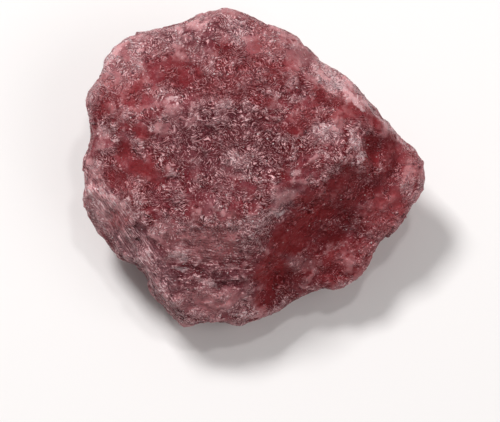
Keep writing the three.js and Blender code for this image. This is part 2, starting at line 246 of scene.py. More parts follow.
PATCHES = {
    Look.ASH: (
        Patch(11.0, -10.5, 3.0, 1.6, 35, 0.35),
        Patch(8.5, -15.0, 2.6, 1.6, 0, 0.3),
        Patch(-7.3, 5.7, 9.5, 7.5, -10, 0.25),
        Patch(-2.9, -1.1, 6.0, 4.0, 0, 0.3),
        Patch(-7.3, -20.2, 9.0, 5.0, -5, 0.4),
        Patch(-10.7, -14.8, 7.0, 3.5, 0, 0.25),
        Patch(-9.3, 22.7, 5.5, 2.5, 15, 0.5),
        Patch(-1.8, 22.3, 2.6, 2.0, -80, 0.6),
        Patch(-18.5, -13.3, 12.0, 3.4, -53, 1.0),
        Patch(-23.4, -5.5, 4.5, 2.5, -40, 0.6),
        Patch(12.2, 6.0, 3.4, 2.0, -10, 0.6),
        Patch(5.8, -5.0, 3.5, 1.8, 35, 0.5),
        Patch(8.3, -15.8, 3.0, 1.8, -10, 0.4),
    ),
    Look.DUSK: (
        Patch(-5.5, 11.0, 3.0, 2.0, -40, 0.5),
        Patch(-5.0, 5.5, 8.0, 7.0, 0, 0.68),
        Patch(0.0, 14.5, 6.0, 3.5, -20, 0.7),
        Patch(-8.0, -3.6, 4.0, 2.0, 0, 0.4),
        Patch(2.0, -1.5, 3.0, 1.6, 0, 0.4),
        Patch(-6.8, 9.6, 2.4, 2.4, 0, 0.85),
        Patch(-1.5, 4.2, 3.0, 1.6, 0, 0.9),
        Patch(3.9, 1.3, 2.6, 1.4, 0, 0.8),
        Patch(-3.0, 12.5, 7.0, 4.5, -10, 0.92),
        Patch(-1.0, 2.5, 7.0, 3.5, -10, 0.92),
        Patch(-5.4, 8.6, 4.5, 4.0, 0, 0.7),
        Patch(2.4, 3.7, 5.0, 3.5, -10, 0.6),
        Patch(-8.3, -10.9, 6.0, 3.0, 0, 0.25),
        Patch(-6.8, -16.7, 9.0, 4.0, -4, 0.25),
        Patch(-6.6, 11.1, 1.2, 2.2, 0, 1.0),
        Patch(-4.1, 8.4, 2.4, 1.1, 0, 1.0),
        Patch(-3.7, 4.3, 2.4, 1.0, 0, 0.9),
        Patch(0.5, 4.9, 1.3, 0.8, 0, 0.8),
        Patch(3.5, 3.1, 1.4, 1.4, 0, 0.8),
        Patch(-9.4, -2.7, 1.0, 1.0, 0, 0.7),
        Patch(-11.3, -5.8, 1.5, 1.1, 0, 0.8),
        Patch(-1.9, -4.1, 1.8, 0.8, 0, 0.6),
        Patch(-8.4, -9.9, 2.0, 0.8, 0, 0.7),
        Patch(-1.2, -13.2, 1.4, 1.0, 0, 0.6),
        Patch(-11.7, -17.7, 3.0, 0.8, 0, 0.7),
        Patch(-3.9, -18.0, 3.0, 0.6, 0, 0.8),
        Patch(-12.2, -24.2, 2.0, 0.8, 0, 0.6),
        Patch(-22.8, -12.1, 1.8, 1.4, 0, 0.5),
        Patch(-19.5, -13.8, 1.4, 1.2, 0, 0.6),
    ),
    Look.BLUSH: (
        Patch(-4.0, 14.0, 6.5, 4.0, 0, 0.42),
        Patch(-3.0, 4.0, 5.0, 3.0, 0, 0.15),
        # painted light: lifts the lower slope, which faces away from the key
        Patch(-6.5, -11.8, 5.0, 3.0, 0, 0.55),
        Patch(-6.0, -22.0, 6.0, 2.5, 0, 0.35),
        Patch(-12.0, 16.5, 3.0, 2.5, 0, 0.35),
        Patch(26.0, -1.4, 3.6, 2.2, 80, 0.85),
        Patch(14.0, -12.5, 2.6, 1.0, 60, 0.35),
        Patch(10.5, -9.0, 4.0, 0.7, 60, 0.25),
        Patch(17.5, -3.0, 4.0, 0.8, 70, 0.3),
        Patch(16.5, -17.5, 4.0, 1.2, 30, 0.4),
        Patch(6.0, -12.0, 5.0, 0.8, 40, 0.25),
        Patch(-20.0, 12.0, 5.5, 5.0, 0, 0.45),
        Patch(3.9, 17.4, 6.0, 4.0, -35, 0.5),
        Patch(13.8, 10.4, 4.2, 2.8, -30, 0.8),
        Patch(8.3, 8.1, 2.6, 2.2, 0, 0.6),
        Patch(22.9, -7.0, 5.0, 4.0, 40, 0.8),
        Patch(25.8, 0.8, 5.0, 2.6, 70, 0.6),
        Patch(-19.5, -0.2, 5.0, 4.0, 0, 0.4),
    ),
    Look.WINE: (
        Patch(-21.4, -8.4, 2.4, 1.8, 0, 1.0),
        Patch(13.6, 11.2, 2.6, 1.6, -20, 0.75),
        Patch(-15.2, 17.8, 2.2, 1.6, 0, 0.4),
        Patch(-12.7, 15.9, 4.0, 2.4, 0, 0.45),
        Patch(-11.2, 14.3, 2.0, 1.1, 0, 0.7),
        Patch(-8.1, 15.4, 1.5, 1.2, 0, 0.7),
        Patch(-23.2, 14.1, 1.6, 0.9, 0, 0.7),
        Patch(-19.5, 12.8, 1.4, 0.9, 0, 0.7),
        Patch(-22.9, 10.1, 2.0, 1.5, 0, 0.5),
        Patch(-17.6, 5.7, 1.8, 1.3, -20, 0.95),
        Patch(-20.3, 3.1, 1.8, 1.3, 80, 0.95),
        Patch(-17.7, 0.1, 2.6, 1.4, -20, 1.0),
        Patch(-21.8, -1.1, 2.2, 1.1, -30, 0.85),
        Patch(-16.2, -2.3, 1.5, 1.5, 0, 0.6),
        Patch(1.8, 20.3, 1.5, 1.2, 0, 0.7),
        Patch(-3.9, 20.3, 1.2, 1.0, 90, 0.6),
        Patch(0.8, 23.6, 1.6, 0.9, -25, 0.6),
        Patch(-0.6, 16.4, 1.8, 1.1, 0, 0.7),
        Patch(-3.9, 18.6, 3.0, 1.5, 0, 0.35),
        Patch(1.9, 11.0, 2.4, 1.2, -10, 0.85),
        Patch(11.5, 12.1, 2.2, 1.2, 110, 1.0),
        Patch(8.6, 7.0, 1.1, 0.9, 90, 0.9),
        Patch(6.6, 6.2, 1.6, 0.8, 0, 0.9),
        Patch(20.9, 7.0, 1.7, 0.9, -45, 0.9),
        Patch(19.0, 7.8, 1.2, 1.2, 0, 0.6),
        Patch(22.8, 2.3, 4.0, 1.6, 95, 0.9),
        Patch(21.4, -2.1, 3.0, 2.0, 45, 0.8),
    ),
    Look.SHADE: (
        Patch(15.8, -8.1, 2.4, 1.7, 0, 0.6),
        Patch(6.3, -19.0, 2.6, 1.8, 20, 0.6),
        Patch(19.8, 0.9, 1.6, 3.0, 0, 0.9),
        Patch(15.5, -15.5, 8.0, 4.0, 25, 0.7),
        Patch(19.9, 3.6, 2.5, 1.5, 80, 1.0),
        Patch(14.6, -2.1, 2.2, 1.4, 0, 0.9),
        Patch(18.5, -4.1, 2.6, 1.2, 20, 0.9),
        Patch(12.2, -7.0, 2.6, 1.6, 0, 1.0),
        Patch(8.8, -5.0, 2.0, 1.2, 0, 0.8),
        Patch(12.7, -5.5, 8.0, 4.0, 35, 0.7),
        Patch(7.8, -10.4, 5.5, 3.4, 35, 0.95),
        Patch(13.2, -10.9, 3.5, 2.0, 0, 0.8),
        Patch(3.7, -17.2, 4.2, 3.0, 80, 1.0),
        Patch(12.0, -14.8, 7.0, 3.2, 20, 0.6),
        Patch(2.5, -21.6, 2.2, 2.0, 0, 0.8),
        Patch(17.6, -8.0, 4.0, 3.0, 40, 0.4),
    ),
    Look.CHIP: (
        # the next four thin lines run along the upper right rim: partly struck white, partly
        # painted highlight
        Patch(16.7, 13.8, 2.0, 0.4, -41, 0.5),
        Patch(19.3, 10.8, 2.2, 0.4, -53, 0.5),
        Patch(22.0, 8.1, 1.9, 0.35, -35, 0.4),
        Patch(24.3, 5.8, 1.9, 0.35, -55, 0.4),
        Patch(-11.8, -14.3, 1.5, 0.6, -10, 0.5),
        Patch(-11.0, -16.4, 1.1, 0.5, 0, 0.4),
        Patch(-6.8, -18.7, 1.4, 0.6, -20, 0.45),
        Patch(11.2, 15.8, 1.8, 0.5, -58, 1.0),
        Patch(14.0, 14.4, 2.4, 1.1, -38, 0.95),
        Patch(12.9, 16.6, 3.0, 0.4, -43, 0.8),
        Patch(17.0, 11.3, 2.4, 0.5, -47, 0.6),
        # a thin line along the upper right rim: partly struck white, partly painted highlight
        Patch(21.2, 8.6, 4.0, 0.4, -46, 0.4),
        Patch(18.0, 1.9, 0.5, 0.7, 0, 0.8),
        Patch(-3.1, 1.1, 1.2, 0.8, 0, 0.15),
        Patch(7.3, -0.7, 0.8, 0.6, 60, 0.25),
        Patch(-12.5, 11.3, 1.0, 0.6, 0, 0.45),
        Patch(-3.6, 10.1, 1.2, 0.6, 0, 0.3),
        Patch(4.4, -7.2, 1.2, 0.4, 10, 0.7),
    ),
    Look.FROST: (
        Patch(2.0, 20.5, 5.0, 2.5, -20, 0.25),
        Patch(-9.0, 18.8, 3.5, 1.6, 0, 0.3),
        Patch(-13.0, 7.2, 3.0, 1.4, 30, 0.3),
        Patch(-19.0, 9.0, 3.0, 1.0, 20, 0.35),
        Patch(12.3, 9.4, 2.0, 0.8, 0, 0.35),
        Patch(-12.5, -14.8, 2.0, 0.8, 0, 0.5),
        Patch(-2.4, -9.4, 2.4, 1.2, 30, 0.5),
        Patch(0.6, -8.6, 3.2, 1.6, 20, 0.42),
        Patch(-6.0, -21.8, 7.0, 2.8, -5, 0.48),
        Patch(-14.0, 20.5, 4.0, 2.0, 15, 0.4),
        Patch(-24.0, -9.3, 2.0, 1.4, -50, 0.7),
        Patch(-7.0, -12.0, 7.5, 2.8, 5, 0.4),
        Patch(16.8, -15.0, 2.0, 0.7, 75, 0.35),
        Patch(9.0, -15.6, 3.0, 1.4, -25, 0.3),
        Patch(12.9, -13.2, 1.6, 0.5, 60, 0.35),
        Patch(-13.9, -10.2, 3.2, 1.8, 20, 0.55),
        Patch(-2.9, -10.9, 4.0, 1.5, 10, 0.4),
        Patch(12.0, 4.9, 3.0, 1.4, 0, 0.6),
        Patch(-3.0, 21.8, 3.0, 1.6, 0, 0.35),
        Patch(-10.7, -22.1, 3.4, 2.0, 0, 0.45),
        Patch(26.3, -1.6, 3.4, 1.0, 82, 0.7),
        Patch(-21.5, 17.5, 5.0, 4.0, 60, 0.48),
        Patch(-25.3, -4.0, 5.0, 2.6, -70, 0.75),
        Patch(6.0, 21.0, 6.0, 2.0, -35, 0.3),
        # along the upper right rim: partly frost, partly painted highlight
        Patch(15.5, 14.5, 8.0, 1.6, -43, 0.35),
        Patch(-22.8, 18.7, 3.0, 0.8, 50, 0.9),
        # painted light: lifts the lower slope, which faces away from the key
        Patch(-6.0, -11.5, 7.5, 4.0, 0, 0.28),
        Patch(-18.3, -13.0, 11.0, 2.6, -53, 0.3),
        Patch(-24.3, -7.0, 3.0, 1.4, -60, 0.9),
        Patch(7.0, 18.0, 2.2, 1.4, -40, 0.4),
        Patch(-15.0, 20.6, 2.0, 1.2, 0, 0.4),
        Patch(-18.7, 17.2, 1.8, 1.2, 90, 0.8),
        Patch(-17.1, 21.1, 2.0, 1.0, 10, 0.5),
        Patch(-12.5, 22.3, 2.0, 1.4, 25, 0.5),
        Patch(-8.4, 24.2, 2.2, 1.5, 20, 0.5),
        Patch(-1.6, 22.1, 2.6, 1.2, -80, 0.5),
        Patch(-12.2, 11.3, 1.0, 0.7, 0, 0.8),
        Patch(-13.7, 11.8, 2.4, 1.6, 0, 0.3),
        Patch(-3.9, 10.6, 1.4, 0.8, 0, 0.7),
        Patch(-23.9, 6.1, 1.4, 1.1, 0, 0.9),
        Patch(-25.7, -0.6, 2.4, 1.4, 90, 0.9),
        Patch(-24.2, -4.2, 3.8, 1.0, -31, 1.5),
        Patch(-21.0, -6.5, 2.0, 0.7, -45, 1.0),
        Patch(-22.8, -5.8, 1.6, 0.9, -30, 0.8),
        Patch(-19.7, -7.0, 2.0, 0.8, -50, 0.6),
        Patch(7.8, 11.3, 1.4, 0.9, 0, 0.5),
        Patch(6.8, 14.0, 1.0, 0.8, 0, 0.6),
        Patch(12.8, 14.5, 2.6, 0.8, -58, 2.5),
        Patch(12.6, 14.6, 4.0, 1.8, -35, 0.6),
        Patch(11.0, 16.0, 1.0, 0.5, -35, 1.4),
        # the next three run along the upper right rim: partly frost, partly painted highlight
        Patch(13.2, 16.4, 4.0, 0.6, -43, 1.1),
        Patch(16.4, 11.8, 2.4, 0.8, -45, 1.0),
        Patch(19.1, 11.5, 2.2, 0.6, -45, 0.7),
        Patch(12.3, 6.2, 2.6, 1.2, -5, 1.2),
        Patch(14.2, 7.6, 1.6, 1.0, 0, 0.6),
        Patch(17.2, 4.3, 2.0, 0.7, 100, 0.9),
        Patch(18.0, 1.8, 0.8, 0.7, 90, 1.0),
        Patch(-2.4, 1.5, 2.6, 1.6, 0, 0.4),
        Patch(1.0, 2.8, 1.0, 0.9, 0, 0.5),
        Patch(-1.4, -1.1, 2.2, 0.8, 0, 0.45),
        Patch(7.4, -0.5, 0.8, 0.6, 0, 0.6),
        Patch(5.7, -4.7, 2.4, 1.0, 25, 0.6),
        Patch(3.9, -7.1, 0.8, 0.6, 0, 0.9),
        Patch(-4.1, -7.0, 0.9, 0.7, 0, 0.8),
        Patch(-2.3, -10.5, 1.8, 0.8, 15, 0.8),
        Patch(-11.5, -13.8, 1.1, 0.8, 0, 0.8),
        Patch(-3.1, -16.1, 1.4, 0.6, 0, 0.8),
        Patch(-7.2, -18.5, 1.6, 0.7, -20, 0.8),
        Patch(-5.7, -21.1, 3.5, 1.6, -10, 0.4),
        Patch(-1.0, -24.2, 1.4, 0.8, 0, 0.6),
        Patch(-6.4, -23.6, 1.2, 0.9, 0, 0.5),
        Patch(25.7, -1.9, 2.6, 0.9, 82, 0.6),
        # along the upper right rim: partly frost, partly painted highlight
        Patch(25.7, 4.5, 2.2, 0.4, -48, 0.7),
        Patch(14.6, -12.5, 1.4, 0.5, 40, 0.35),
        Patch(7.8, -16.0, 2.0, 1.2, 0, 0.3),
    ),
}


@dataclass(frozen=True)
class Mottle:
    """Random variation of one size, through the whole stone.

    Attributes:
        size: From one pale spot to the next, in mm.
        low: What comes out as 0, of noise that runs from 0 to 1 and is mostly near 0.5.
        high: What comes out as 1.
        detail: How many finer rounds of variation it holds.
        keenness: How strong each finer round is against the one before.
        seed: Which of many such patterns it is.
    """

    size: float
    low: float
    high: float
    detail: float = 3.0
    keenness: float = 0.6
    seed: float = 0.0

    def add(self, tree: NodeTree, place: NodeSocket) -> NodeSocket:
        """Adds the nodes that make it.

        Args:
            tree: The node tree.
            place: Where it is read, in mm.

        Returns:
            A value from 0 to 1.
        """
        noise = add_node(
            tree,
            "ShaderNodeTexNoise",
            {
                "Vector": place,
                "W": self.seed,
                "Scale": 2 / self.size,
                "Detail": self.detail,
                "Roughness": self.keenness,
            },
            noise_dimensions="4D",
        )
        return add_node(
            tree,
            "ShaderNodeMapRange",
            {"Value": noise.outputs["Fac"], "From Min": self.low, "From Max": self.high},
            interpolation_type="SMOOTHSTEP",
        ).outputs[0]


@dataclass(frozen=True)
class Hackles:
    """The fine, short ridges of a fresh break, which run one way here and another way there.

    Attributes:
        width: How wide the finer ridges are, in mm. Real ones go finer, but would not show.
        length: How long the finer ridges are, in mm.
        contrast: How strongly they show.
        sweep: How far it is between places where they run in different ways, in mm.
        swing: How strongly their direction changes, in mm of shift.
        seed: Which of many such patterns it is.
    """

    width: float
    length: float
    contrast: float
    sweep: float = 4.0
    swing: float = 9.0
    seed: float = 0.0

    def add(self, tree: NodeTree, place: NodeSocket) -> NodeSocket:
        """Adds the nodes that make them.

        Args:
            tree: The node tree.
            place: Where they are read, in mm.

        Returns:
            Their height: above 0 on a ridge, below 0 beside it.
        """
        crooked = bent(tree, place, 1 / self.sweep, self.swing, self.seed)
        across = 0.5 / self.width  # the second round of noise has twice as many cells
        drawn_out = add_node(
            tree,
            "ShaderNodeVectorMath",
            {0: crooked, 1: (0.5 / self.length, across, 0.7 * across)},
            operation="MULTIPLY",
        )
        ridges = add_node(
            tree,
            "ShaderNodeTexNoise",
            {"Vector": drawn_out.outputs[0], "Scale": 1.0, "Detail": 1.8, "Roughness": 0.7},
        )
        lowest, highest = 0.3, 0.7  # most of the noise is between them
        return add_node(
            tree,
            "ShaderNodeMapRange",
            {
                "Value": ridges.outputs["Fac"],
                "From Min": lowest,
                "From Max": highest,
                "To Min": -self.contrast,
                "To Max": self.contrast,
            },
            clamp=False,
        ).outputs[0]


@dataclass(frozen=True)
class Cracks:
    """Short curved cracks: a thin pale edge with a dark gap along each side, partly painted
    highlight and shade.

    They are the edges of bent cells, broken into lengths.

    Attributes:
        spacing: From one crack to the next, in mm.
        width: How thick the pale edge is, in mm.
        kept: How much of their length is left, from 0 to 1.
        seed: Which of many such patterns it is.
    """

    spacing: float
    width: float
    kept: float
    seed: float = 0.0

    def add(self, tree: NodeTree, place: NodeSocket) -> NodeSocket:
        """Adds the nodes that make them.

        Args:
            tree: The node tree.
            place: Where they are read, in mm.

        Returns:
            Their height: 1 on an edge, down to -1 in the gap beside it and 0 elsewhere.
        """
        cell = add_node(
            tree,
            "ShaderNodeTexVoronoi",
            {
                "Vector": bent(tree, place, 1.1 / self.spacing, 2.0 * self.spacing, self.seed),
                "Scale": 1 / self.spacing,
            },
            feature="DISTANCE_TO_EDGE",
        )
        share = self.width / self.spacing
        # how many widths from the middle each begins, where it is full, and its full height
        edge, gap = (
            add_node(
                tree,
                "ShaderNodeMapRange",
                {
                    "Value": cell.outputs["Distance"],
                    "From Min": far * share,
                    "From Max": near * share,
                    "To Max": height,
                },
            ).outputs[0]
            for far, near, height in ((0.9, 0.3, 2.0), (2.6, 1.1, -1.0))
        )
        level = 0.65 - 0.3 * self.kept  # the noise is above it along the lengths that are kept
        lengths = Mottle(self.spacing * 1.7, level, level + 0.08, 1.0, seed=self.seed + 5)
        height = add_node(tree, "ShaderNodeMath", {0: edge, 1: gap}, operation="ADD")
        return add_node(
            tree,
            "ShaderNodeMath",
            {0: height.outputs[0], 1: lengths.add(tree, place)},
            operation="MULTIPLY",
        ).outputs[0]


@dataclass(frozen=True)
class Plates:
    """The little faces that a break leaves: each is plain or rough, and has its own shade.

    Attributes:
        width: How wide they are, in mm.
        plain: The share of them that is plain, from 0 to 1.
        seed: Which of many such patterns it is.
    """

    width: float
    plain: float
    seed: float = 0.0

    def add(self, tree: NodeTree, place: NodeSocket) -> tuple[NodeSocket, NodeSocket]:
        """Adds the nodes that make them.

        Args:
            tree: The node tree.
            place: Where they are read, in mm.

        Returns:
            How plain each place is and its shade, both from 0 to 1.
        """
        ragged = bent(tree, place, 1.2 / self.width, 1.8 * self.width, self.seed, 5.0, 0.65)
        cell = add_node(
            tree,
            "ShaderNodeTexVoronoi",
            {"Vector": ragged, "Scale": 1 / self.width, "Smoothness": 0.15},
            feature="SMOOTH_F1",
        )
        own = add_node(tree, "ShaderNodeSeparateColor", {0: cell.outputs["Color"]})
        level, blur = 1 - self.plain, 0.1
        plainness = add_node(
            tree,
            "ShaderNodeMapRange",
            {
                "Value": own.outputs["Green"],
                "From Min": level - blur,
                "From Max": level + blur,
            },
        )
        return plainness.outputs[0], own.outputs["Red"]


@dataclass(frozen=True)
class Glints:
    """Painted specks where a tiny face happens to mirror the room, as small as can show.

    Attributes:
        spacing: From one possible speck to the next, in mm.
        size: How wide a speck is, in mm.
        kept: The share of them that shows, from 0 to 1.
    """

    spacing: float
    size: float
    kept: float

    def add(self, tree: NodeTree, place: NodeSocket) -> NodeSocket:
        """Adds the nodes that make them.

        Args:
            tree: The node tree.
            place: Where they are read, in mm.

        Returns:
            1 on a speck and 0 elsewhere.
        """
        cell = add_node(tree, "ShaderNodeTexVoronoi", {"Vector": place, "Scale": 1 / self.spacing})
        radius = 0.5 * self.size / self.spacing
        speck = add_node(
            tree,
            "ShaderNodeMapRange",
            {
                "Value": cell.outputs["Distance"],
                "From Min": 1.2 * radius,
                "From Max": 0.6 * radius,
            },
        )
        lit = add_node(
            tree,
            "ShaderNodeMath",
            {0: cell.outputs["Color"], 1: 1 - self.kept},
            operation="GREATER_THAN",
        )
        return add_node(
            tree, "ShaderNodeMath", {0: speck.outputs[0], 1: lit.outputs[0]}, operation="MULTIPLY"
        ).outputs[0]


@dataclass(frozen=True)
class Streaks:
    """Long pale fibres, where the stone parted along its layers.

    Attributes:
        patch: Where they are; its turn is the way they run.
        spacing: From one fibre to the next, in mm.
        length: How long they are, in mm.
        seed: Which of many such patterns it is.
    """

    patch: Patch
    spacing: float
    length: float
    seed: float = 0.0

    def add(self, tree: NodeTree, place: NodeSocket, inside: NodeSocket, ) -> NodeSocket:
        """Adds the nodes that make them.

        Args:
            tree: The node tree.
            place: Where they are read, in mm.
            inside: How far each place is inside the patch.

        Returns:
            Their height: above 0 on a fibre, below 0 beside it.
        """
        along = add_node(
            tree,
            "ShaderNodeMapping",
            {
                "Vector": place,
                "Rotation": (0.0, 0.0, math.radians(self.patch.turn)),
                "Scale": (self.length, self.spacing, self.spacing),
            },
            vector_type="TEXTURE",
        )
        fibres = Mottle(2.0, 0.36, 0.64, seed=self.seed)
        highest = 1.8  # on the scale of the hackles
        height = add_node(
            tree,
            "ShaderNodeMath",
            {0: fibres.add(tree, along.outputs[0]), 1: 2 * highest, 2: -highest},
            operation="MULTIPLY_ADD",
        )
        return add_node(
            tree, "ShaderNodeMath", {0: height.outputs[0], 1: inside}, operation="MULTIPLY"
        ).outputs[0]


class BreakShape(Enum):
    """How a small piece of the stone came off."""

    SHELL = "a hollow like the inside of a shell, with a sharp ridge round it"
    FACET = "a small flat face, tilted its own way"


@dataclass(frozen=True)
class Breaks:
    """One grade of the broken relief.

    Attributes:
        shape: What the breaks are like.
        width: How wide each is, in mm.
        depth: How deep each is, in mm.
    """

    shape: BreakShape
    width: float
    depth: float

    def add(self, tree: NodeTree, place: NodeSocket) -> NodeSocket:
        """Adds the nodes that make it.

        Args:
            tree: The node tree.
            place: Where it is read, in mm.

        Returns:
            The height in mm, near 0 on the whole.
        """
        moved = bent(tree, place, 1 / self.width, self.width)
        cell = add_node(tree, "ShaderNodeTexVoronoi", {"Vector": moved, "Scale": 1 / self.width})
        if self.shape is BreakShape.SHELL:
            square = add_node(
                tree, "ShaderNodeMath", {0: cell.outputs["Distance"], 1: 2.0}, operation="POWER"
            )
            mean = 0.4  # of the squared distance, so that the hollows keep the stone's size
            level = add_node(
                tree, "ShaderNodeMath", {0: square.outputs[0], 1: mean}, operation="SUBTRACT"
            )
            scale = self.depth
        else:
            own = add_node(
                tree,
                "ShaderNodeVectorMath",
                {0: cell.outputs["Color"], 1: (0.5, 0.5, 0.5)},
                operation="SUBTRACT",
            )
            within = add_node(
                tree,
                "ShaderNodeVectorMath",
                {0: moved, 1: cell.outputs["Position"]},
                operation="SUBTRACT",
            )
            level = add_node(
                tree,
                "ShaderNodeVectorMath",
                {0: own.outputs[0], 1: within.outputs[0]},
                operation="DOT_PRODUCT",
            )
            scale = 2 * self.depth / self.width
        height = level.outputs["Value"]
        return add_node(
            tree, "ShaderNodeMath", {0: height, 1: scale}, operation="MULTIPLY"
        ).outputs[0]


STREAKS = (
    Streaks(Patch(-18.3, -13.0, 12.0, 3.0, -56, 0.9), 0.22, 6.0, seed=30),
    Streaks(Patch(-25.0, -3.6, 5.0, 3.0, -50, 0.7), 0.35, 3.5, seed=31),
    Streaks(Patch(-6.4, -16.0, 9.0, 6.0, -4, 0.55), 0.3, 1.4, seed=32),
    Streaks(Patch(-8.8, 22.3, 6.0, 3.6, 72, 0.45), 0.4, 1.6, seed=33),
    Streaks(Patch(13.7, -10.9, 11.0, 7.0, 40, 0.38), 0.26, 1.3, seed=34),
)


@dataclass(frozen=True)
class Lines:
    """How the ridges of the fine relief, or the gaps between them, show in the colour: partly as
    painted highlight and painted shade.

    Attributes:
        start: The height of the relief at which they begin to show.
        full: The height at which they show as strongly as they can.
        sparse: How strongly they show where they are few, from 0 to 1.
        crowded: How much more they show where they crowd together.
    """

    start: float
    full: float
    sparse: float
    crowded: float

    def add(self, tree: NodeTree, height: NodeSocket, crowd: NodeSocket) -> NodeSocket:
        """Adds the nodes that make them.

        Args:
            tree: The node tree.
            height: The height of the fine relief.
            crowd: How far they crowd together, from 0 to 1.

        Returns:
            How strongly they show.
        """
        most = add_node(
            tree,
            "ShaderNodeMath",
            {0: crowd, 1: self.crowded, 2: self.sparse},
            operation="MULTIPLY_ADD",
        )
        return add_node(
            tree,
            "ShaderNodeMapRange",
            {
                "Value": height,
                "From Min": self.start,
                "From Max": self.full,
                "To Max": most.outputs[0],
            },
        ).outputs[0]


@dataclass(frozen=True)
class Tone:
    """How one look changes the skin.

    Attributes:
        look: The look.
        colour: Its colour, as sRGB hex.
        cover: How much of the colour shows where the look is full, from 0 to 1.
        clarity: How clear and smooth the stone is there, from 0 to 1.
    """

    look: Look
    colour: str
    cover: float
    clarity: float


TONES = (
    Tone(Look.DUSK, "#581d25", 0.8, 0.0),
    Tone(Look.ASH, "#6d4851", 0.65, 0.1),
    Tone(Look.BLUSH, "#9e4044", 0.8, 0.75),
    Tone(Look.WINE, "#7c2127", 0.93, 0.85),
    Tone(Look.SHADE, "#7f1c20", 0.88, 0.85),
    Tone(Look.CHIP, "#eed6d9", 0.88, 0.0),
)


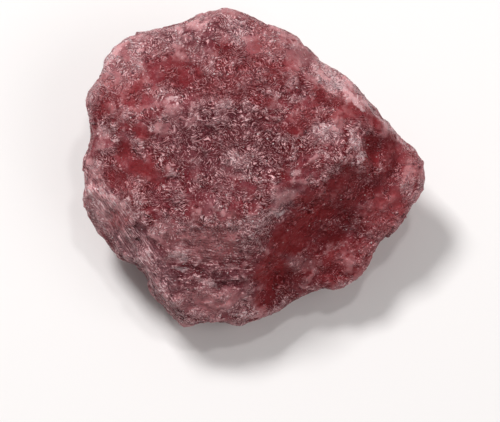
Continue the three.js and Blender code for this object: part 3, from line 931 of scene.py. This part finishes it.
@dataclass(frozen=True)
class RawQuartz:
    """Strawberry quartz, raw and broken: clouded, wine red, sugary where it broke.

    Light goes about a millimetre in before it comes back, so edges glow and shadows are soft. The
    broken skin is a mass of small tilted faces, and those that face a light glint.

    Attributes:
        patches: The patches that differ from the rest.
        tones: What each kind of patch looks like.
        streaks: The fibres on its flanks.
        reach: How far light goes in, in mm.
        clouds: Large soft masses of deeper and lighter red.
        mauves: Soft masses that lean to violet.
        veils: Pale haze near the surface.
        clusters: Where the pale ridges and specks crowd together.
        plates: The small faces of the break, plain or rough.
        hackles: The fine ridges of its broken skin.
        cracks: Two grades of fine cracks.
        glints: The specks that shine.
        grain_height: How high the finest ridges stand, in mm.
        grains: The smallest breaks; many real ones are too small to be drawn.
        sheen: How the gloss varies.
        gaps: How the dark gaps between the ridges show, partly as painted shade.
        ridges: How the pale ridges show, partly as painted highlight.
        clear_calm: The share of the fine relief that clear stone lacks.
        plain_calm: The share of it that a plain small face lacks.
        edge_size: How wide the tatters at a patch's edge are, in mm.
        edge_shift: How far they reach, in mm.
        deep: Colour of the deepest red clouds; all colours are sRGB hex.
        body: Colour of the middle ones.
        rose: Colour of the lightest ones.
        mauve: Colour of the violet masses.
        mauve_cover: How much of it shows where they are full.
        frost_and_sheen: Colour of the crushed, pale surface, also a painted sheen where it catches
            the light.
        ridge: Colour of the ridges, partly a painted highlight.
        red_ridge_and_highlight: Their colour on clear stone.
        pale_ridge_and_highlight: Their colour on the pale surface.
        glint: Colour of the specks, painted reflections.
        crack: Colour of the gaps, partly a painted shade.
        pale_crack_and_shade: Their colour on the pale surface.
    """

    patches: Mapping[Look, tuple[Patch, ...]] = field(default_factory=lambda: PATCHES)
    tones: tuple[Tone, ...] = TONES
    streaks: tuple[Streaks, ...] = STREAKS
    reach: float = 1.0
    clouds: Mottle = Mottle(5.0, 0.25, 0.75, detail=4.0, keenness=0.55, seed=1)
    mauves: Mottle = Mottle(5.0, 0.45, 0.7, detail=4.0, keenness=0.6, seed=6)
    veils: Mottle = Mottle(3.6, 0.42, 0.75, detail=4.0, keenness=0.55, seed=2)
    clusters: Mottle = Mottle(3.2, 0.38, 0.66, detail=3.0, seed=7)
    plates: Plates = Plates(2.2, 0.4, seed=11)
    hackles: Hackles = Hackles(0.1, 0.42, 2.7, seed=3)
    cracks: tuple[Cracks, ...] = (
        Cracks(0.5, 0.08, 0.4, seed=9),
        Cracks(1.0, 0.1, 0.25, seed=14),
    )
    glints: Glints = Glints(0.7, 0.26, 0.3)
    grain_height: float = 0.042
    grains: Breaks = Breaks(BreakShape.FACET, 0.6, 0.04)
    sheen: Mottle = Mottle(1.4, 0.35, 0.65, seed=20)
    gaps: Lines = Lines(-0.62, -1.25, 0.7, 0.3)
    ridges: Lines = Lines(0.68, 1.2, 0.35, 0.85)
    clear_calm: float = 0.3
    plain_calm: float = 0.6
    edge_size: float = 1.8
    edge_shift: float = 3.2
    deep: str = "#6e1a20"
    body: str = "#7a2a32"
    rose: str = "#8f4048"
    mauve: str = "#74434d"
    mauve_cover: float = 0.5
    frost_and_sheen: str = "#d99fa2"
    ridge: str = "#f0b7ba"
    red_ridge_and_highlight: str = "#b6606a"
    pale_ridge_and_highlight: str = "#f2dcdf"
    glint: str = "#f7eaea"
    crack: str = "#480f15"
    pale_crack_and_shade: str = "#8c5862"

    def material(self) -> Material:
        """Makes the material.

        Returns:
            The finished material.
        """
        made = bpy.data.materials.new("raw_strawberry_quartz")
        made.use_nodes = True
        tree = made.node_tree
        tree.nodes.clear()
        face = FACE.coordinates(tree)
        ragged = self.ragged(tree, face)
        masks = {look: self.patch_mask(tree, ragged, look) for look in Look}
        plain, shade = self.plates.add(tree, face)
        clear = self.clearness(tree, masks)
        rough = self.rough_share(tree, masks, plain, clear)
        pale = self.paleness(tree, face, masks[Look.FROST], shade, clear)
        relief = self.fine_relief(tree, face)
        shown = add_node(
            tree, "ShaderNodeMath", {0: relief, 1: rough}, operation="MULTIPLY"
        ).outputs[0]
        shown = self.with_fibres(tree, face, ragged, shown)
        colour = self.toned(tree, self.body_colour(tree, face), masks)
        colour = self.whitened(tree, face, colour, pale, shown, rough, clear)
        bsdf = add_node(
            tree,
            "ShaderNodeBsdfPrincipled",
            {
                "Base Color": colour,
                "Roughness": self.roughness(tree, face, pale, clear),
                "IOR": 1.54,  # quartz
                "Specular IOR Level": 0.12,  # low, since the broken skin scatters most light
                "Subsurface Weight": self.depth(tree, clear),
                "Subsurface Radius": (1.0, 0.35, 0.32),  # red light goes in furthest
                "Subsurface Scale": self.reach * MM,
                "Normal": self.bump(tree, face, relief, rough),
            },
        )
        add_node(tree, "ShaderNodeOutputMaterial", {"Surface": bsdf.outputs[0]})
        return made

    def clearness(self, tree: NodeTree, masks: Mapping[Look, NodeSocket]) -> NodeSocket:
        """Works out how far one sees into the stone.

        Args:
            tree: The material's node tree.
            masks: Where each look is.

        Returns:
            A value from 0 to 1.
        """
        clear: Any = 0.0
        for tone in self.tones:
            seen = add_node(
                tree, "ShaderNodeMath", {0: masks[tone.look], 1: tone.clarity}, operation="MULTIPLY"
            )
            clear = add_node(
                tree, "ShaderNodeMath", {0: seen.outputs[0], 1: clear}, operation="MAXIMUM"
            ).outputs[0]
        return clear

    def rough_share(
        self,
        tree: NodeTree,
        masks: Mapping[Look, NodeSocket],
        plain: NodeSocket,
        clear: NodeSocket,
    ) -> NodeSocket:
        """How strongly the fine ridges and cracks show.

        Args:
            tree: The material's node tree.
            masks: Where each look is.
            plain: Where the small faces are plain.
            clear: How clear the stone is.

        Returns:
            A value from 0 to 1.
        """
        broken = add_node(
            tree,
            "ShaderNodeMath",
            {0: clear, 1: -self.clear_calm, 2: 1.0},
            operation="MULTIPLY_ADD",
        )
        even = add_node(
            tree,
            "ShaderNodeMath",
            {0: plain, 1: masks[Look.DUSK]},
            operation="SUBTRACT",
            use_clamp=True,
        )
        uneven = add_node(
            tree,
            "ShaderNodeMath",
            {0: even.outputs[0], 1: -self.plain_calm, 2: 1.0},
            operation="MULTIPLY_ADD",
        )
        return add_node(
            tree,
            "ShaderNodeMath",
            {0: broken.outputs[0], 1: uneven.outputs[0]},
            operation="MULTIPLY",
        ).outputs[0]

    def fine_relief(self, tree: NodeTree, face: NodeSocket) -> NodeSocket:
        """Adds up the finest relief: the hackles and the cracks.

        Args:
            tree: The material's node tree.
            face: Face coordinates in mm.

        Returns:
            The height, mostly from -1 to 1.
        """
        total = self.hackles.add(tree, face)
        for crack in self.cracks:
            total = add_node(
                tree, "ShaderNodeMath", {0: crack.add(tree, face), 1: total}, operation="ADD"
            ).outputs[0]
        return total

    def with_fibres(
        self, tree: NodeTree, face: NodeSocket, ragged: NodeSocket, total: NodeSocket, 
    ) -> NodeSocket:
        """Puts the fibres in the place of the fine relief that shows, as far as they cover it.

        Args:
            tree: The material's node tree.
            face: Face coordinates in mm.
            ragged: Face coordinates shifted by noise.
            total: The relief so far.

        Returns:
            The relief with the fibres.
        """
        for streak in self.streaks:
            inside = self.patch_inside(tree, ragged, streak.patch)
            fibres = streak.add(tree, face, inside)
            left = add_node(
                tree, "ShaderNodeMath", {0: inside, 1: -1.0, 2: 1.0}, operation="MULTIPLY_ADD"
            ).outputs[0]
            total = add_node(
                tree, "ShaderNodeMath", {0: total, 1: left, 2: fibres}, operation="MULTIPLY_ADD"
            ).outputs[0]
        return total

    def toned(
        self, tree: NodeTree, colour: NodeSocket, masks: Mapping[Look, NodeSocket], 
    ) -> NodeSocket:
        """Lays each patch's own colour over the body's.

        Args:
            tree: The material's node tree.
            colour: The body's colour.
            masks: Where each look is.

        Returns:
            The colour with the patches.
        """
        for tone in self.tones:
            share = add_node(
                tree, "ShaderNodeMath", {0: masks[tone.look], 1: tone.cover}, operation="MULTIPLY"
            )
            colour = add_node(
                tree,
                "ShaderNodeMix",
                {0: share.outputs[0], MIX_A: colour, MIX_B: linear(tone.colour)},
                data_type="RGBA",
            ).outputs[MIX_COLOUR]
        return colour

    def whitened(
        self,
        tree: NodeTree,
        face: NodeSocket,
        colour: NodeSocket,
        pale: NodeSocket,
        grain: NodeSocket,
        rough: NodeSocket,
        clear: NodeSocket,
    ) -> NodeSocket:
        """Lays haze, pale ridges with painted highlight, dark gaps with painted shade and glints
        over the colour.

        Args:
            tree: The material's node tree.
            face: Face coordinates in mm.
            colour: The colour below.
            pale: How pale the surface is.
            grain: Height of the finest relief.
            rough: How strongly the fine ridges show.
            clear: How clear the stone is, which makes its ridges redder.

        Returns:
            The colour of the skin.
        """
        # the pale ridges are partly painted highlight and the dark gaps partly painted shade
        ridge_and_highlight_tint: Any = linear(self.ridge)
        for where, there in ((clear, self.red_ridge_and_highlight), (pale, self.pale_ridge_and_highlight)):
            ridge_and_highlight_tint = add_node(
                tree,
                "ShaderNodeMix",
                {0: where, MIX_A: ridge_and_highlight_tint, MIX_B: linear(there)},
                data_type="RGBA",
            ).outputs[MIX_COLOUR]
        gap_and_shade_tint = add_node(
            tree,
            "ShaderNodeMix",
            {0: pale, MIX_A: linear(self.crack), MIX_B: linear(self.pale_crack_and_shade)},
            data_type="RGBA",
        ).outputs[MIX_COLOUR]
        crowd = add_node(
            tree,
            "ShaderNodeMath",
            {0: self.clusters.add(tree, face), 1: pale},
            operation="ADD",
            use_clamp=True,
        ).outputs[0]
        # painted shade in the gaps and painted highlight on the ridges, drawn from the height of
        # the fine relief
        gap = self.gaps.add(tree, grain, crowd)
        ridge = self.ridges.add(tree, grain, crowd)
        often = add_node(tree, "ShaderNodeMath", {0: crowd, 1: rough}, operation="MULTIPLY")
        # painted reflections: near-white specks laid into the colour
        speck = add_node(
            tree,
            "ShaderNodeMath",
            {0: self.glints.add(tree, face), 1: often.outputs[0]},
            operation="MULTIPLY",
        ).outputs[0]
        for share, tint in (
            # the frost is partly the white of crushed stone, partly painted sheen
            (pale, linear(self.frost_and_sheen)),
            (gap, gap_and_shade_tint),
            (ridge, ridge_and_highlight_tint),
            (speck, linear(self.glint)),
        ):
            colour = add_node(
                tree, "ShaderNodeMix", {0: share, MIX_A: colour, MIX_B: tint}, data_type="RGBA"
            ).outputs[MIX_COLOUR]
        return colour

    def ragged(self, tree: NodeTree, face: NodeSocket) -> NodeSocket:
        """Shifts the face coordinates by noise, so that the patches have broken edges.

        Args:
            tree: The material's node tree.
            face: Face coordinates in mm.

        Returns:
            The shifted coordinates in mm.
        """
        noise = add_node(
            tree,
            "ShaderNodeTexNoise",
            {"Vector": face, "Scale": 1 / self.edge_size, "Detail": 4.0, "Roughness": 0.7},
        )
        centred = add_node(
            tree,
            "ShaderNodeVectorMath",
            {0: noise.outputs["Color"], 1: (0.5, 0.5, 0.5)},
            operation="SUBTRACT",
        )
        shift = add_node(
            tree,
            "ShaderNodeVectorMath",
            {0: centred.outputs[0], "Scale": self.edge_shift},
            operation="SCALE",
        )
        moved = add_node(
            tree, "ShaderNodeVectorMath", {0: face, 1: shift.outputs[0]}, operation="ADD"
        )
        return moved.outputs[0]

    def patch_inside(self, tree: NodeTree, ragged: NodeSocket, patch: Patch) -> NodeSocket:
        """How far each place is inside a patch.

        Args:
            tree: The material's node tree.
            ragged: Face coordinates shifted by noise.
            patch: The patch.

        Returns:
            From 0 outside the patch to its strength.
        """
        height = 9.0  # mm out of the core, near the skin of the broad face
        depth = 20.0  # mm above and below that height over which a patch dies away
        edge = 1.25  # a patch ends at this many times its reach
        full = 0.6  # and has its full strength up to this many times
        spot = add_node(
            tree,
            "ShaderNodeMapping",
            {
                "Vector": ragged,
                "Location": (patch.u, patch.v, height),
                "Rotation": (0.0, 0.0, math.radians(patch.turn)),
                "Scale": [edge * size for size in (patch.length, patch.width, depth)],
            },
            vector_type="TEXTURE",
        )
        ball = add_node(
            tree, "ShaderNodeTexGradient", {"Vector": spot.outputs[0]}, gradient_type="SPHERICAL"
        )
        return add_node(
            tree,
            "ShaderNodeMapRange",
            {
                "Value": ball.outputs["Fac"],
                "From Max": 1 - full / edge,
                "To Max": patch.strength,
            },
            interpolation_type="SMOOTHSTEP",
        ).outputs[0]

    def patch_mask(self, tree: NodeTree, ragged: NodeSocket, look: Look) -> NodeSocket:
        """Joins the patches of one look.

        Args:
            tree: The material's node tree.
            ragged: Face coordinates shifted by noise.
            look: The look.

        Returns:
            From 0 outside them all to their strength.
        """
        total: Any = 0.0
        for patch in self.patches[look]:
            total = add_node(
                tree,
                "ShaderNodeMath",
                {0: self.patch_inside(tree, ragged, patch), 1: total},
                operation="MAXIMUM",
            ).outputs[0]
        return total

    def body_colour(self, tree: NodeTree, face: NodeSocket) -> NodeSocket:
        """Makes the clouded body: deep red, wine, rose and mauve in soft masses.

        Args:
            tree: The material's node tree.
            face: Face coordinates in mm.

        Returns:
            The colour of the body.
        """
        ramp = add_node(tree, "ShaderNodeValToRGB", {"Fac": self.clouds.add(tree, face)})
        stops = ((0.1, self.deep), (0.5, self.body), (0.95, self.rose))
        ramp.color_ramp.elements[0].position = stops[0][0]
        ramp.color_ramp.elements[1].position = stops[2][0]
        ramp.color_ramp.elements.new(stops[1][0])
        for element, (_, tint) in zip(ramp.color_ramp.elements, stops):
            element.color = linear(tint)
        share = add_node(
            tree,
            "ShaderNodeMath",
            {0: self.mauves.add(tree, face), 1: self.mauve_cover},
            operation="MULTIPLY",
        )
        return add_node(
            tree,
            "ShaderNodeMix",
            {0: share.outputs[0], MIX_A: ramp.outputs["Color"], MIX_B: linear(self.mauve)},
            data_type="RGBA",
        ).outputs[MIX_COLOUR]

    def paleness(
        self,
        tree: NodeTree,
        face: NodeSocket,
        frost_and_sheen: NodeSocket,
        shade: NodeSocket,
        clear: NodeSocket,
    ) -> NodeSocket:
        """How pale the surface is: veils, frosted patches with painted sheen, and ridges partly
        worn and partly painted highlight.

        Args:
            tree: The material's node tree.
            face: Face coordinates in mm.
            frost_and_sheen: Where the frosted patches are, partly painted sheen.
            shade: The shade of each small face.
            clear: How clear the stone is.

        Returns:
            A value from 0 to 1.
        """
        darkest, spread = 0.16, 0.76  # how pale the darkest small face is, and how much more
        own = add_node(
            tree, "ShaderNodeMath", {0: shade, 1: spread, 2: darkest}, operation="MULTIPLY_ADD"
        ).outputs[0]
        veil = add_node(
            tree, "ShaderNodeMath", {0: self.veils.add(tree, face), 1: own}, operation="MULTIPLY"
        ).outputs[0]
        crest = add_node(
            tree, "ShaderNodeAttribute", attribute_name=CREST, attribute_type="GEOMETRY"
        )
        # paler on the crests: partly worn, partly a painted highlight where edges catch the light
        worn = add_node(
            tree,
            "ShaderNodeMapRange",
            {"Value": crest.outputs["Fac"], "From Min": 0.55, "From Max": 0.85, "To Max": 0.5},
        ).outputs[0]
        veil_cover = 0.22
        haze = add_node(
            tree, "ShaderNodeMath", {0: veil, 1: veil_cover, 2: worn}, operation="MULTIPLY_ADD"
        ).outputs[0]
        hidden = add_node(
            tree, "ShaderNodeMath", {0: clear, 1: -1.0, 2: 1.0}, operation="MULTIPLY_ADD"
        ).outputs[0]
        over = add_node(
            tree, "ShaderNodeMath", {0: haze, 1: hidden}, operation="MULTIPLY"
        ).outputs[0]
        least, more = 0.42, 0.4  # how pale frost is on the darkest small face, and how much more
        crushed = add_node(
            tree, "ShaderNodeMath", {0: own, 1: more, 2: least}, operation="MULTIPLY_ADD"
        ).outputs[0]
        return add_node(
            tree,
            "ShaderNodeMath",
            {0: frost_and_sheen, 1: crushed, 2: over},
            operation="MULTIPLY_ADD",
            use_clamp=True,
        ).outputs[0]

    def roughness(
        self, tree: NodeTree, face: NodeSocket, pale: NodeSocket, clear: NodeSocket, 
    ) -> NodeSocket:
        """Glassy on the small faces, duller where the surface is crushed or worn smooth.

        Args:
            tree: The material's node tree.
            face: Face coordinates in mm.
            pale: How pale the surface is.
            clear: How clear the stone is: its clear skin is worn, so it glints less.

        Returns:
            A roughness from 0 to 1.
        """
        glassy, spread, wear = 0.13, 0.25, 0.25
        total: Any = glassy
        for where, more in ((self.sheen.add(tree, face), spread), (pale, wear), (clear, wear)):
            total = add_node(
                tree, "ShaderNodeMath", {0: where, 1: more, 2: total}, operation="MULTIPLY_ADD"
            ).outputs[0]
        return total

    def depth(self, tree: NodeTree, clear: NodeSocket) -> NodeSocket:
        """Works out how much of the light goes into the stone before it comes back.

        Args:
            tree: The material's node tree.
            clear: How clear the stone is.

        Returns:
            A share from 0 to 1.
        """
        clouded, more = 0.15, 0.6
        return add_node(
            tree, "ShaderNodeMath", {0: clear, 1: more, 2: clouded}, operation="MULTIPLY_ADD"
        ).outputs[0]

    def bump(
        self, tree: NodeTree, face: NodeSocket, relief: NodeSocket, rough: NodeSocket, 
    ) -> NodeSocket:
        """Tilts each grain its own way and raises the fine ridges.

        Args:
            tree: The material's node tree.
            face: Face coordinates in mm.
            relief: Height of the finest relief, as a share of its full height.
            rough: How strongly it shows.

        Returns:
            The bent normal.
        """
        height = add_node(
            tree,
            "ShaderNodeMath",
            {0: relief, 1: self.grain_height, 2: self.grains.add(tree, face)},
            operation="MULTIPLY_ADD",
        )
        calm = 0.3  # strength where the ridges don't show
        strength = add_node(
            tree, "ShaderNodeMath", {0: rough, 1: 1 - calm, 2: calm}, operation="MULTIPLY_ADD"
        )
        return add_node(
            tree,
            "ShaderNodeBump",
            {"Height": height.outputs[0], "Distance": MM, "Strength": strength.outputs[0]},
        ).outputs[0]


@dataclass
class Stone:
    """The stone's visible skin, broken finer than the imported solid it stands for.

    Attributes:
        node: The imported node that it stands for.
        cuts: Edge cuts of each round of subdivision; 1 turns each triangle into 4.
        smoothing: Rounds of smoothing after each subdivision.
        breaks: The grades of relief, coarse to fine.
        foot: Height above the resting face below which the relief dies away, in mm.
        crest_rounds: Rounds of blurring that give the surroundings of each point.
        crest_height: How far a full crest stands out from them, in mm.
        finish: What the stone is made of.
    """

    node: str = "stone"
    cuts: tuple[int, ...] = (1, 1)
    smoothing: tuple[int, ...] = (1, 1)
    breaks: tuple[Breaks, ...] = (
        Breaks(BreakShape.SHELL, 4.2, 0.45),
        Breaks(BreakShape.FACET, 2.8, 0.3),
        Breaks(BreakShape.SHELL, 1.8, 0.14),
        Breaks(BreakShape.FACET, 1.1, 0.14),
    )
    foot: float = 0.8
    crest_rounds: int = 14
    crest_height: float = 0.3
    finish: RawQuartz = RawQuartz()

    def build(self, source: Object) -> Object:
        """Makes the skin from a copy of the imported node.

        Args:
            source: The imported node's object.

        Returns:
            The finished piece, riding on the body and standing for the node.
        """
        piece = self.copied(source)
        self.refine(piece)
        self.roughen(piece)
        piece.data.materials.clear()
        piece.data.materials.append(self.finish.material())
        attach(piece, "root")
        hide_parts(self.node)
        return piece

    def copied(self, source: Object) -> Object:
        """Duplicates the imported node, frees the copy from its body and joins its triangles.

        Args:
            source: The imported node's object.

        Returns:
            The copy.
        """
        deselect_all()
        source.select_set(True)
        bpy.context.view_layer.objects.active = source
        bpy.ops.object.duplicate()
        piece = bpy.context.view_layer.objects.active
        piece.name = piece.data.name = "strawberry_quartz_skin"
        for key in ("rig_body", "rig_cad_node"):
            del piece[key]
        piece.parent = None
        bpy.ops.object.mode_set(mode="EDIT")
        bpy.ops.mesh.select_all(action="SELECT")
        bpy.ops.mesh.remove_doubles(threshold=TOUCHING)
        bpy.ops.object.mode_set(mode="OBJECT")
        return piece

    def refine(self, piece: Object) -> None:
        """Subdivides the mesh and takes the flat facets off it, keeping the resting face flat.

        Args:
            piece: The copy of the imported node.
        """
        for cuts, rounds in zip(self.cuts, self.smoothing):
            bpy.ops.object.mode_set(mode="EDIT")
            bpy.ops.mesh.select_all(action="SELECT")
            bpy.ops.mesh.subdivide(number_cuts=cuts)
            bpy.ops.mesh.select_all(action="DESELECT")
            bpy.ops.object.mode_set(mode="OBJECT")
            for vertex in piece.data.vertices:
                vertex.select = vertex.co.z > TOUCHING
            bpy.ops.object.mode_set(mode="EDIT")
            bpy.ops.mesh.select_mode(type="VERT")
            bpy.ops.mesh.vertices_smooth(factor=0.5, repeat=rounds)
            bpy.ops.object.mode_set(mode="OBJECT")
        bpy.ops.object.shade_smooth()

    def roughen(self, piece: Object) -> None:
        """Breaks the surface with geometry nodes and applies them.

        Args:
            piece: The refined copy.
        """
        low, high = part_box(self.node)
        modifier = piece.modifiers.new("broken_relief", "NODES")
        modifier.node_group = self.relief_group(low, high)
        bpy.ops.object.modifier_apply(modifier=modifier.name)

    def relief_group(self, low: Vector, high: Vector) -> NodeTree:
        """Makes the node group that breaks the surface.

        Args:
            low: The lowest corner that the piece may reach, in metres.
            high: The highest corner.

        Returns:
            A geometry node group.
        """
        tree = bpy.data.node_groups.new("broken_relief", "GeometryNodeTree")
        tree.interface.new_socket("Mesh", in_out="INPUT", socket_type="NodeSocketGeometry")
        tree.interface.new_socket("Mesh", in_out="OUTPUT", socket_type="NodeSocketGeometry")
        mesh = add_node(tree, "NodeGroupInput").outputs[0]
        place = add_node(tree, "GeometryNodeInputPosition").outputs[0]
        in_mm = add_node(
            tree, "ShaderNodeVectorMath", {0: place, "Scale": 1 / MM}, operation="SCALE"
        ).outputs[0]
        height = self.relief(tree, in_mm)
        above = add_node(tree, "ShaderNodeSeparateXYZ", {0: in_mm}).outputs["Z"]
        footing = add_node(
            tree, "ShaderNodeMapRange", {"Value": above, "From Max": self.foot}
        ).outputs[0]
        rise = add_node(
            tree, "ShaderNodeMath", {0: height, 1: footing}, operation="MULTIPLY"
        ).outputs[0]
        rise = add_node(tree, "ShaderNodeMath", {0: rise, 1: MM}, operation="MULTIPLY").outputs[0]
        outward = add_node(tree, "GeometryNodeInputNormal").outputs[0]
        offset = add_node(
            tree, "ShaderNodeVectorMath", {0: outward, "Scale": rise}, operation="SCALE"
        ).outputs[0]
        moved = add_node(
            tree, "ShaderNodeVectorMath", {0: place, 1: offset}, operation="ADD"
        ).outputs[0]
        for corner, operation in ((low, "MAXIMUM"), (high, "MINIMUM")):
            moved = add_node(
                tree, "ShaderNodeVectorMath", {0: moved, 1: corner}, operation=operation
            ).outputs[0]
        broken = add_node(
            tree, "GeometryNodeSetPosition", {"Geometry": mesh, "Position": moved}
        ).outputs[0]
        marked = add_node(
            tree,
            "GeometryNodeStoreNamedAttribute",
            {"Geometry": broken, "Name": CREST, "Value": self.crest(tree)},
            data_type="FLOAT",
            domain="POINT",
        ).outputs[0]
        add_node(tree, "NodeGroupOutput", {0: marked})
        return tree

    def relief(self, tree: NodeTree, in_mm: NodeSocket) -> NodeSocket:
        """Adds up the grades of broken relief.

        Args:
            tree: The geometry node group.
            in_mm: Each vertex's place in mm.

        Returns:
            The height in mm.
        """
        total: Any = 0.0
        for grade in self.breaks:
            total = add_node(
                tree, "ShaderNodeMath", {0: grade.add(tree, in_mm), 1: total}, operation="ADD"
            ).outputs[0]
        return total

    def crest(self, tree: NodeTree) -> NodeSocket:
        """Works out how far the broken surface stands out from its surroundings.

        Args:
            tree: The geometry node group.

        Returns:
            1 on a full crest, 0.5 where it is even and 0 in a hollow.
        """
        place = add_node(tree, "GeometryNodeInputPosition").outputs[0]
        outward = add_node(tree, "GeometryNodeInputNormal").outputs[0]
        around = add_node(
            tree,
            "GeometryNodeBlurAttribute",
            {"Value": place, "Iterations": self.crest_rounds},
            data_type="FLOAT_VECTOR",
        ).outputs[0]
        beyond = add_node(
            tree, "ShaderNodeVectorMath", {0: place, 1: around}, operation="SUBTRACT"
        ).outputs[0]
        height = add_node(
            tree, "ShaderNodeVectorMath", {0: beyond, 1: outward}, operation="DOT_PRODUCT"
        ).outputs["Value"]
        return add_node(
            tree,
            "ShaderNodeMapRange",
            {
                "Value": height,
                "From Min": -self.crest_height * MM,
                "From Max": self.crest_height * MM,
            },
        ).outputs[0]


@dataclass
class Studio:
    """A pale floor, soft light from the upper left and the camera.

    Attributes:
        floor_width: Width of the floor, in metres.
        distance: From the camera to the stone's core, in metres.
        pixels_per_mm: Size of the stone in the picture.
        core_pixel: Where the core is in the picture, from its upper left corner.
        sensor: Width of the camera's sensor, in mm.
        room_light: Strength of the even light.
    """

    floor_width: float = 4.0
    distance: float = 0.40
    pixels_per_mm: float = 6.0
    core_pixel: tuple[float, float] = (250.0, 170.0)
    sensor: float = 36.0
    room_light: float = 0.26

    def build(self) -> None:
        """Makes the floor, the lights, the world and the camera."""
        self.floor()
        self.lights()
        self.world()
        self.camera()

    def floor(self) -> None:
        """A matt, off-white floor under the stone."""
        deselect_all()
        bpy.ops.mesh.primitive_plane_add(size=self.floor_width)
        floor = bpy.context.active_object
        floor.name = "floor"
        paper = bpy.data.materials.new("matt_paper")
        paper.use_nodes = True
        bsdf = paper.node_tree.nodes["Principled BSDF"]
        bsdf.inputs["Base Color"].default_value = linear("#efeceb")
        bsdf.inputs["Roughness"].default_value = 0.9
        floor.data.materials.append(paper)

    def lights(self) -> None:
        """A large soft key from the upper left, a fill and a small light for glints."""
        for name, place, size, power in (
            ("key", (-0.24, 0.34, 0.56), 0.16, 4.0),
            ("fill", (0.42, -0.22, 0.50), 0.50, 1.3),
            ("glint", (0.10, 0.16, 0.60), 0.05, 0.5),
        ):
            self.area_light(name, Vector(place), size, power)

    def area_light(self, name: str, place: Vector, size: float, power: float) -> None:
        """Adds a square area light that faces the stone.

        Args:
            name: The light's name.
            place: Where it is, in metres.
            size: Its side, in metres.
            power: Its power, in watts.
        """
        lamp = bpy.data.lights.new(name, "AREA")
        lamp.size = size
        lamp.energy = power
        light = bpy.data.objects.new(name, lamp)
        light.location = place
        light.rotation_euler = (place - FACE.point(0, 0, 0)).to_track_quat("Z", "Y").to_euler()
        bpy.context.scene.collection.objects.link(light)

    def world(self) -> None:
        """Even light from a pale room."""
        room = bpy.data.worlds.new("pale_room")
        room.use_nodes = True
        background = room.node_tree.nodes["Background"]
        background.inputs["Color"].default_value = linear("#f2f0ef")
        background.inputs["Strength"].default_value = self.room_light
        bpy.context.scene.world = room
        bpy.context.scene.view_settings.view_transform = "Standard"

    def camera(self) -> None:
        """Looks square at the broad face, with the core where it belongs in the picture."""
        lens = bpy.data.cameras.new("camera")
        lens.sensor_width = self.sensor
        seen_width = IMAGE_WIDTH / self.pixels_per_mm * MM
        lens.lens = self.sensor * self.distance / seen_width
        lens.clip_start, lens.clip_end = 0.01, 10.0
        camera = bpy.data.objects.new("camera", lens)
        right = (self.core_pixel[0] - IMAGE_WIDTH / 2) / self.pixels_per_mm
        up = (IMAGE_HEIGHT / 2 - self.core_pixel[1]) / self.pixels_per_mm
        camera.location = FACE.point(-right, -up, self.distance / MM)
        camera.rotation_euler = FACE.rotation()
        bpy.context.scene.collection.objects.link(camera)
        bpy.context.scene.camera = camera


def main() -> None:
    """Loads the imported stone, dresses it and lights it."""
    logging.basicConfig(level=logging.INFO, format="%(name)s: %(message)s")
    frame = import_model()
    stone = Stone()
    piece = stone.build(frame["nodes"][stone.node])
    LOG.info("%s: %d faces", piece.name, len(piece.data.polygons))
    Studio().build()
    LOG.info("floor, lights and camera are in place")


if __name__ == "__main__":
    main()
